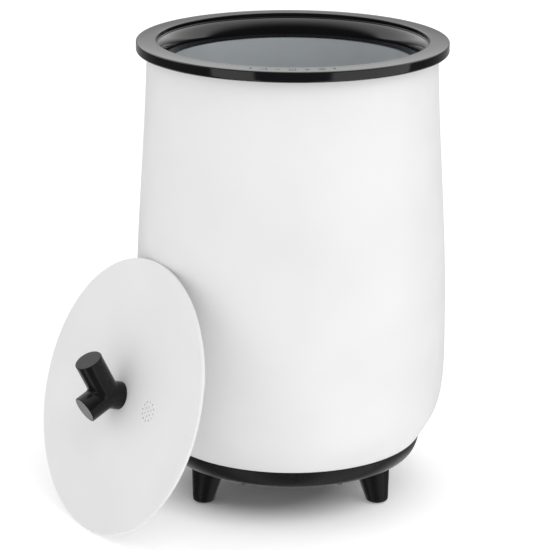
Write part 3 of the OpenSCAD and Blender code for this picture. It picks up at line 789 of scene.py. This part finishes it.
def pan_head(name, head_r, head_h, shank_r, length):
    """Pan-head screw with a cross recess. Its head stands on z = 0 and its shank goes down."""
    edge = 0.35 * head_h
    outline = (
        [(0, -length), (shank_r - 0.3 * MM, -length), (shank_r, -length + 0.6 * MM)]
        + [(shank_r, 0), (head_r, 0)]
        + arc((head_r - edge, head_h * 0.45), edge, head_h * 0.3, 0, 60, 5)
        + [(head_r * 0.45, head_h * 0.96), (0, head_h)]
    )
    screw = lathe(name, outline, 40, 50)
    arm = head_r * 0.55
    for turn in (0, 90):
        slot = block("slot", (-arm, -0.4 * MM, head_h * 0.45), (arm, 0.4 * MM, head_h * 2), 0.12 * MM)
        combine(screw, settle(slot, Matrix.Rotation(math.radians(turn), 4, "Z")), "DIFFERENCE")
    return screw


def build_base_screws():
    """Six screws that come in from below, two between each pair of feet."""
    screws = []
    for fan in FANS:
        for side in (-SCREW_SPREAD, SCREW_SPREAD):
            screw = pan_head("screw", 3.8 * MM, 2.5 * MM, 2 * MM, 21.5 * MM)
            place = Matrix.Translation(polar(121 * MM, fan + BASE_TURN + side, Z_BASE))
            screws.append(settle(screw, place @ Matrix.Rotation(math.pi, 4, "X")))
    finish_piece(join("base_screw_set", screws), "housing", "screw_black", "base_screws")


def build_gland():
    """Cord gland: round lip, bore with a rounded mouth, and a tail inside the base."""
    centre = middle("cord_gland")
    low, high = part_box("cord_gland")
    bore, body, lip = 3.7 * MM, 5.2 * MM, 7 * MM
    z_lip = high.y - 2.4 * MM
    outline = (
        [(bore, low.y), (body, low.y), (body, z_lip), (lip, z_lip)]
        + arc((lip - 0.9 * MM, high.y - 0.9 * MM), 0.9 * MM, 0.9 * MM, 0, 90, 6)
        + arc((bore + 0.8 * MM, high.y - 0.8 * MM), 0.8 * MM, 0.8 * MM, 90, 180, 6)
    )
    gland = lathe("gland_fine", outline, 72)
    settle(gland, Matrix.Translation((0, 0, centre.z)) @ Matrix.Rotation(-math.pi / 2, 4, "X"))
    finish_piece(gland, "housing", "base_black", "cord_gland")


def cover_z(radius):
    """Height of the channel cover's lower face, which falls towards the barrel."""
    fall = 0.38
    return Z_RIM + 2.4 * MM - fall * (COLLAR_R - radius)


def build_channel_cover():
    """Sloping ring that closes the touch channel from below."""
    inner, outer = CHANNEL_IN_R, CHANNEL_OUT_R
    thick = 1.4 * MM
    edge = 0.3 * MM
    outline = [
        (inner, cover_z(inner) + edge),
        (inner + edge, cover_z(inner + edge)),
        (outer - edge, cover_z(outer - edge)),
        (outer, cover_z(outer) + edge),
        (outer, cover_z(outer) + thick),
        (inner, cover_z(inner) + thick),
    ]
    finish_piece(lathe("channel_cover_fine", outline), "housing", "base_black", "rim_channel_cover")


# ------------------------------------------------------------ the lid


def hole_cutter():
    """Nineteen small holes with a slight countersink: one, six and twelve."""
    radius, pitch, lead = 0.9 * MM, 4.7 * MM, 0.2 * MM
    outline = [
        (0, -LID_T - MM), (radius, -LID_T - MM), (radius, -lead),
        (radius + lead, 0), (radius + 2 * lead, lead), (0, lead),
    ]
    holes = []
    for ring in range(3):
        for i in range(max(1, 6 * ring)):
            a = TAU * i / max(1, 6 * ring)
            centre = (ring * pitch * math.cos(a), 55 * MM + ring * pitch * math.sin(a))
            holes.append(lathe("hole", outline, 20, centre=centre))
    return join("holes", holes)


def lug(degrees):
    """Curved locating lug on the lid's underside."""
    inner, outer, depth = 131.6 * MM, 134.2 * MM, 3 * MM
    steps = 12
    bm = bmesh.new()
    rows = []
    for i in range(steps + 1):
        a = math.radians(degrees - 11 + 22 * i / steps)
        rows.append([
            bm.verts.new((r * math.cos(a), r * math.sin(a), z))
            for r, z in ((inner, -LID_T), (outer, -LID_T), (outer, -LID_T - depth), (inner, -LID_T - depth))
        ])
    for row, following in zip(rows, rows[1:]):
        for i in range(4):
            j = (i + 1) % 4
            bm.faces.new((row[i], row[j], following[j], following[i]))
    bm.faces.new(rows[0])
    bm.faces.new(rows[-1][::-1])
    rims = [e for e in bm.edges if all(v.co.z < -LID_T - depth / 2 for v in e.verts)]
    bmesh.ops.bevel(bm, geom=rims, offset=0.5 * MM, segments=3, affect="EDGES", profile=0.5)
    return add_object("lug", bm)


def build_lid():
    edge = 1.1 * MM
    outline = (
        [(0, 0)]
        + arc((LID_R - edge, -edge), edge, edge, 90, 0, 8)
        + arc((LID_R - edge, -LID_T + edge), edge, edge, 0, -90, 8)
        + [(0, -LID_T)]
    )
    plate = lathe("lid_plate_fine", outline, 320)
    combine(plate, hole_cutter(), "DIFFERENCE")
    lid = join("lid_plate_fine", [plate] + [lug(a) for a in (0, 120, 240)])
    settle(lid, LID)
    finish_piece(lid, "lid", "lid_white", "lid_plate")


# ------------------------------------------------------------ the knob


def capped_rod(points, start, end, radius, edge):
    """Distance to a rod from start to end with a rounded rim at both ends."""
    axis = end - start
    length = np.linalg.norm(axis)
    axis = axis / length
    offset = points - start
    along = offset @ axis
    across = np.linalg.norm(offset - along[..., None] * axis, axis=-1)
    x = across - (radius - edge)
    y = np.abs(along - length / 2) - (length / 2 - edge)
    outside = np.hypot(np.maximum(x, 0), np.maximum(y, 0))
    return outside + np.minimum(np.maximum(x, y), 0) - edge


def smooth_union(a, b, blend):
    mix = np.clip(0.5 + 0.5 * (b - a) / blend, 0, 1)
    return b + (a - b) * mix - blend * mix * (1 - mix)


def knob_distance(points):
    """Distance to the forked knob, in millimetres, in the lid's frame."""
    fork = np.array([0, 0, 15.5])
    long_length, short_length = 43.3, 27.6
    trunk_r, branch_r = 14.2, 14.0
    rim_r = 0.8
    lean = math.sqrt(0.5)
    upper = fork + long_length * np.array([-lean, 0, lean])
    lower = fork + short_length * np.array([lean, 0, lean])
    trunk = capped_rod(points, np.array([0, 0, -4.0]), fork + np.array([0, 0, 2.0]), trunk_r, 2.0)
    long_branch = capped_rod(points, fork, upper, branch_r, rim_r)
    short_branch = capped_rod(points, fork, lower, branch_r, rim_r)
    crotch = smooth_union(long_branch, short_branch, 2.5)
    return smooth_union(crotch, trunk, 2.0)


def surface_nets(distance, low, high, step):
    """Quad mesh of the zero level of a distance function on a regular grid."""
    axes = [np.arange(low[k], high[k] + step, step) for k in range(3)]
    grid = np.stack(np.meshgrid(*axes, indexing="ij"), axis=-1)
    values = distance(grid)
    inside = values < 0
    cells = tuple(n - 1 for n in values.shape)
    total = np.zeros(cells + (3,))
    count = np.zeros(cells)
    corners = [(i, j, k) for i in (0, 1) for j in (0, 1) for k in (0, 1)]

    def corner(array, c):
        return array[c[0]:c[0] + cells[0], c[1]:c[1] + cells[1], c[2]:c[2] + cells[2]]

    for a in corners:
        for k in range(3):
            if a[k]:
                continue
            b = tuple(a[m] + (m == k) for m in range(3))
            va, vb = corner(values, a), corner(values, b)
            crossing = corner(inside, a) != corner(inside, b)
            t = np.where(crossing, va / np.where(crossing, va - vb, 1), 0)
            point = corner(grid, a) + t[..., None] * (corner(grid, b) - corner(grid, a))
            total += np.where(crossing[..., None], point, 0)
            count += crossing
    used = count > 0
    index = np.full(cells, -1)
    index[used] = np.arange(used.sum())
    verts = total[used] / count[used][:, None]

    quads = []
    for k in range(3):
        m, n = [axis for axis in range(3) if axis != k]
        body = [slice(0, s) for s in values.shape]
        shift = [slice(0, s) for s in values.shape]
        body[k] = slice(0, values.shape[k] - 1)
        shift[k] = slice(1, values.shape[k])
        for axis in (m, n):
            body[axis] = slice(1, values.shape[axis] - 1)
            shift[axis] = slice(1, values.shape[axis] - 1)
        start, end = inside[tuple(body)], inside[tuple(shift)]
        at = np.argwhere(start != end)
        outward = start[tuple(at.T)]
        at[:, m] += 1
        at[:, n] += 1
        ring = []
        for dm, dn in ((0, 0), (-1, 0), (-1, -1), (0, -1)):
            cell = at.copy()
            cell[:, m] += dm
            cell[:, n] += dn
            ring.append(index[tuple(cell.T)])
        faces = np.stack(ring, axis=1)
        flip = outward == (k == 1)
        faces[flip] = faces[flip][:, ::-1]
        quads.append(faces)
    return verts, np.concatenate(quads)


def pull_to_surface(verts, distance, rounds=4):
    """Moves vertices along the distance's gradient until they lie on its zero level."""
    reach = 0.02
    for _ in range(rounds):
        value = distance(verts)
        gradient = np.stack([
            (distance(verts + reach * np.eye(3)[k]) - distance(verts - reach * np.eye(3)[k])) / (2 * reach)
            for k in range(3)
        ], axis=1)
        size_squared = np.maximum((gradient ** 2).sum(axis=1), 0.25)
        verts = verts - (value / size_squared)[:, None] * gradient
    return verts


def build_knob():
    """Forked knob, as one smooth skin with small fillets where the stems meet."""
    verts, quads = surface_nets(knob_distance, (-42, -18, -1.2), (32, 18, 60), 0.6)
    verts = pull_to_surface(verts, knob_distance)
    bm = bmesh.new()
    made = [bm.verts.new(Vector(v) * MM) for v in verts]
    for quad in quads:
        if len(set(quad)) == 4:
            bm.faces.new([made[i] for i in quad])
    cut = bmesh.ops.bisect_plane(bm, geom=bm.verts[:] + bm.edges[:] + bm.faces[:],
                                 plane_co=(0, 0, 0), plane_no=(0, 0, -1), clear_outer=True)
    rim = [g for g in cut["geom_cut"] if isinstance(g, bmesh.types.BMEdge)]
    bmesh.ops.contextual_create(bm, geom=rim)
    knob = add_object("knob", bm, 40)
    settle(knob, LID)
    finish_piece(knob, "lid", "knob_black", "lid_knob")


def build_knob_fixings():
    washer_h = 1.2 * MM
    outline = [
        (2.5 * MM, -LID_T), (2.5 * MM, -LID_T - washer_h), (7.7 * MM, -LID_T - washer_h),
        (8 * MM, -LID_T - washer_h + 0.3 * MM), (8 * MM, -LID_T),
    ]
    washer = settle(lathe("washer", outline, 64), LID)
    finish_piece(washer, "lid", "screw_steel", "knob_washer")
    screw = pan_head("screw", 4.6 * MM, 1.8 * MM, 2.5 * MM, 18 * MM)
    turn = Matrix.Translation((0, 0, -LID_T - washer_h)) @ Matrix.Rotation(math.pi, 4, "X")
    settle(screw, LID @ turn)
    finish_piece(screw, "lid", "screw_steel", "knob_screw")
    screw.name = "knob_fixing_screw"


# ------------------------------------------------------------ the grate


def build_grate():
    """Perforated plate with rolled edges and a central lifting knob."""
    low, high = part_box("floor_grate")
    radius = size("floor_grate").x / 2
    thick, bevel = 2.5 * MM, 0.4 * MM
    curve = bpy.data.curves.new("grate_outline", "CURVE")
    curve.dimensions = "2D"
    curve.fill_mode = "BOTH"
    curve.extrude = thick / 2 - bevel
    curve.bevel_depth = bevel
    curve.bevel_resolution = 2
    curve.offset = -bevel
    circles = [(0, 0, radius, 160)]
    for ring in range(2, 8):
        for i in range(6 * ring):
            a = TAU * i / (6 * ring)
            circles.append((13.5 * MM * ring * math.cos(a), 13.5 * MM * ring * math.sin(a), 4.5 * MM, 24))
    for x, y, r, steps in circles:
        spline = curve.splines.new("POLY")
        spline.points.add(steps - 1)
        for i, point in enumerate(spline.points):
            point.co = (x + r * math.cos(TAU * i / steps), y + r * math.sin(TAU * i / steps), 0, 1)
        spline.use_cyclic_u = True
    outline = bpy.data.objects.new("grate_outline", curve)
    bpy.context.collection.objects.link(outline)
    graph = bpy.context.evaluated_depsgraph_get()
    mesh = bpy.data.meshes.new_from_object(outline.evaluated_get(graph))
    bpy.data.objects.remove(outline)
    plate = bpy.data.objects.new("plate", mesh)
    bpy.context.collection.objects.link(plate)
    settle(plate, Matrix.Translation((0, 0, low.z + thick / 2)))
    resharpen(plate, 50)
    z0 = low.z + thick
    handle = lathe("handle", (
        [(0, z0), (9 * MM, z0)]
        + bezier((9 * MM, z0), (7 * MM, z0 + 3 * MM), (6 * MM, z0 + 6 * MM), (6 * MM, z0 + 12 * MM), 8)[1:]
        + arc((10 * MM, high.z - 4 * MM), 1 * MM, 1 * MM, -90, 0, 5)
        + arc((10 * MM, high.z - 1 * MM), 1 * MM, 1 * MM, 0, 90, 5)
        + [(0, high.z)]
    ), 64)
    grate = join("grate_fine", [plate, handle])
    finish_piece(grate, "grate", "grate_steel", "floor_grate")


# ------------------------------------------------------------ carried-over CAD nodes


def paint_cad_nodes():
    """Gives every CAD node that still shows the material of its slot."""
    slots = {s["node"]: s["material_slot"] for s in frame["record"]["subparts"]}
    for name, node in frame["nodes"].items():
        if node.hide_render:
            continue
        node.data.materials.clear()
        node.data.materials.append(MATERIALS[slots[name]])


# ------------------------------------------------------------ stage, lights, camera

# Soft white light on matt surfaces, at the horizon and overhead
FILL_LEVEL = 1.0
FILL_ABOVE = 0.7

# Half the floor's width, the strength of the floor's painted glow (emission from a floor that is no lamp), and the
# middle and radius of the spot under the object where it has none
FLOOR_HALF = 6
FLOOR_PAINTED_GLOW = 0.24
SHADOW_PLACE = (-0.03, 0, 0)
SHADOW_R = 70 * MM

# What reflections see. Angles are in radians: the ceiling's go up from the horizon behind the
# object and over to the front, and the cards' go around from straight in front.
MIRROR_CEILING = 1.7
CEILING_START = (0.1, 0.4)
CEILING_END = (1.4, 2.75)
MIRROR_DARK = 0.08
MIRROR_CARD = 0.95
CARDS = ((-1.06, -0.48), (0.5, 1.64))
CARD_EDGE = 0.03
MIRROR_ENDS = 0.35
MIRROR_LOW_BACK = 0.8

KEY_DIRECTION = Vector((-0.34, 0.55, -0.77))
LIGHTS_TARGET = (0, 0, 0.25)

# The camera: place, lens in millimetres, and turns in degrees
CAMERA_PLACE = (0, -2.3745, 0.94954)
CAMERA_LENS = 158.54
CAMERA_YAW = 0.3935
CAMERA_PITCH = 16.966
CAMERA_ROLL = 0.331


def build_floor():
    """Pale paper with a painted glow: an emission that is off in a spot under the object and full further out, so
    that only close shadows stay on it.
    """
    finish = Finish("floor_paper_painted_glow", (0.95, 0.95, 0.95), 0.8, specular=0.1)
    finish.mottle(finish.noise(3, 2), 0.004)
    reach = finish.add("ShaderNodeVectorMath", operation="DISTANCE")
    reach.inputs[1].default_value = SHADOW_PLACE
    finish.link(finish.place, reach.inputs[0])
    # Painted light: the floor's emission is zero within SHADOW_R of the spot and full from the barrel's foot
    # radius outwards, which lifts the far shadows
    painted_glow = finish.span(reach.outputs["Value"], 0, FLOOR_PAINTED_GLOW, SHADOW_R, BARREL_FOOT_R)
    finish.link(painted_glow, finish.shader.inputs["Emission Strength"])
    finish.set("Emission Color", (1, 1, 1, 1))
    bm = bmesh.new()
    corners = ((-1, -1), (1, -1), (1, 1), (-1, 1))
    bm.faces.new([bm.verts.new((x * FLOOR_HALF, y * FLOOR_HALF, 0)) for x, y in corners])
    floor = add_object("floor", bm)
    floor.data.materials.append(finish.material)
    floor.visible_glossy = False


def build_world():
    """White studio fill. Reflections see a bright ceiling that starts low behind the object, and
    below the horizon a dark room with two white cards in front and paler ends."""
    world = bpy.data.worlds.new("studio")
    world.use_nodes = True
    tree = world.node_tree
    tree.nodes.clear()

    def ramp(value, start, end, low, high):
        node = tree.nodes.new("ShaderNodeMapRange")
        node.interpolation_type = "SMOOTHSTEP"
        node.inputs["From Min"].default_value = start
        node.inputs["From Max"].default_value = end
        node.inputs["To Min"].default_value = low
        node.inputs["To Max"].default_value = high
        tree.links.new(value, node.inputs["Value"])
        return node.outputs["Result"]

    def maths(operation, *values):
        node = tree.nodes.new("ShaderNodeMath")
        node.operation = operation
        for socket, value in zip(node.inputs, values):
            if isinstance(value, (int, float)):
                socket.default_value = value
            else:
                tree.links.new(value, socket)
        return node.outputs[0]

    place = tree.nodes.new("ShaderNodeTexCoord")
    split = tree.nodes.new("ShaderNodeSeparateXYZ")
    tree.links.new(place.outputs["Generated"], split.inputs["Vector"])
    x, y, z = (split.outputs[axis] for axis in "XYZ")

    over = maths("ARCTAN2", z, y)
    rises = ramp(over, *CEILING_START, 0.25, 1)
    falls = ramp(over, *CEILING_END, 1, 0.03)
    ceiling = maths("MULTIPLY", maths("MULTIPLY", rises, falls), MIRROR_CEILING)

    front = maths("ARCTAN2", x, maths("MULTIPLY", y, -1))
    cards = MIRROR_DARK
    for start, end in CARDS:
        opens = ramp(front, start - CARD_EDGE, start + CARD_EDGE, 0, 1)
        closes = ramp(front, end - CARD_EDGE, end + CARD_EDGE, MIRROR_CARD, 0)
        cards = maths("ADD", maths("MULTIPLY", opens, closes), cards)
    low = maths("ADD", cards, ramp(maths("ABSOLUTE", front), 1.9, 3.1, 0, MIRROR_ENDS))
    deep = maths("MULTIPLY", ramp(z, -0.56, -0.42, MIRROR_LOW_BACK, 0), ramp(y, 0.1, 0.5, 0, 1))
    low = maths("ADD", low, deep)

    above = ramp(z, -0.02, 0.02, 0, 1)
    mirrored = maths(
        "ADD",
        maths("MULTIPLY", above, ceiling),
        maths("MULTIPLY", maths("SUBTRACT", 1, above), low),
    )

    soft = ramp(z, 0, 1, FILL_LEVEL, FILL_ABOVE)
    path = tree.nodes.new("ShaderNodeLightPath")
    glossy = path.outputs["Is Glossy Ray"]
    strength = maths(
        "ADD",
        maths("MULTIPLY", mirrored, glossy),
        maths("MULTIPLY", maths("SUBTRACT", 1, glossy), soft),
    )
    fill = tree.nodes.new("ShaderNodeBackground")
    fill.inputs["Color"].default_value = (1, 1, 1, 1)
    tree.links.new(strength, fill.inputs["Strength"])
    output = tree.nodes.new("ShaderNodeOutputWorld")
    tree.links.new(fill.outputs["Background"], output.inputs["Surface"])
    bpy.context.scene.world = world


def softbox(name, place, width, height, power):
    """Area light aimed at the middle of the object and hidden from reflections."""
    light = bpy.data.lights.new(name, "AREA")
    light.shape = "RECTANGLE"
    light.size = width
    light.size_y = height
    light.energy = power
    lamp = bpy.data.objects.new(name, light)
    bpy.context.collection.objects.link(lamp)
    lamp.location = place
    lamp.rotation_euler = (Vector(LIGHTS_TARGET) - Vector(place)).to_track_quat("-Z", "Y").to_euler()
    lamp.visible_glossy = False


def build_lights():
    light = bpy.data.lights.new("key", "SUN")
    light.energy = 0.5
    light.angle = math.radians(35)
    key = bpy.data.objects.new("key", light)
    bpy.context.collection.objects.link(key)
    key.rotation_euler = KEY_DIRECTION.to_track_quat("-Z", "Y").to_euler()
    key.visible_glossy = False
    softbox("right_strip", (1.9, -0.7, 0.9), 0.5, 1.6, 3)
    softbox("left_strip", (-1.9, -0.9, 1.0), 0.3, 1.6, 1.5)


def build_camera():
    data = bpy.data.cameras.new("camera")
    data.sensor_width = 36
    data.lens = CAMERA_LENS
    camera = bpy.data.objects.new("camera", data)
    bpy.context.collection.objects.link(camera)
    camera.matrix_world = (
        Matrix.Translation(CAMERA_PLACE)
        @ Matrix.Rotation(math.radians(CAMERA_YAW), 4, "Z")
        @ Matrix.Rotation(math.radians(90 - CAMERA_PITCH), 4, "X")
        @ Matrix.Rotation(math.radians(CAMERA_ROLL), 4, "Z"))
    bpy.context.scene.camera = camera


def set_view():
    view = bpy.context.scene.view_settings
    view.view_transform = "Standard"
    view.look = "None"


# ------------------------------------------------------------ make everything

build_camera()
build_world()
build_lights()
set_view()
build_floor()

build_barrel()
build_collar()
build_legend()
build_channel_cover()
build_pot()
build_base()
build_base_screws()
build_gland()
for foot_name in FEET:
    build_foot(foot_name)
    build_pad(foot_name)
build_lid()
build_knob()
build_knob_fixings()
build_grate()
paint_cad_nodes()
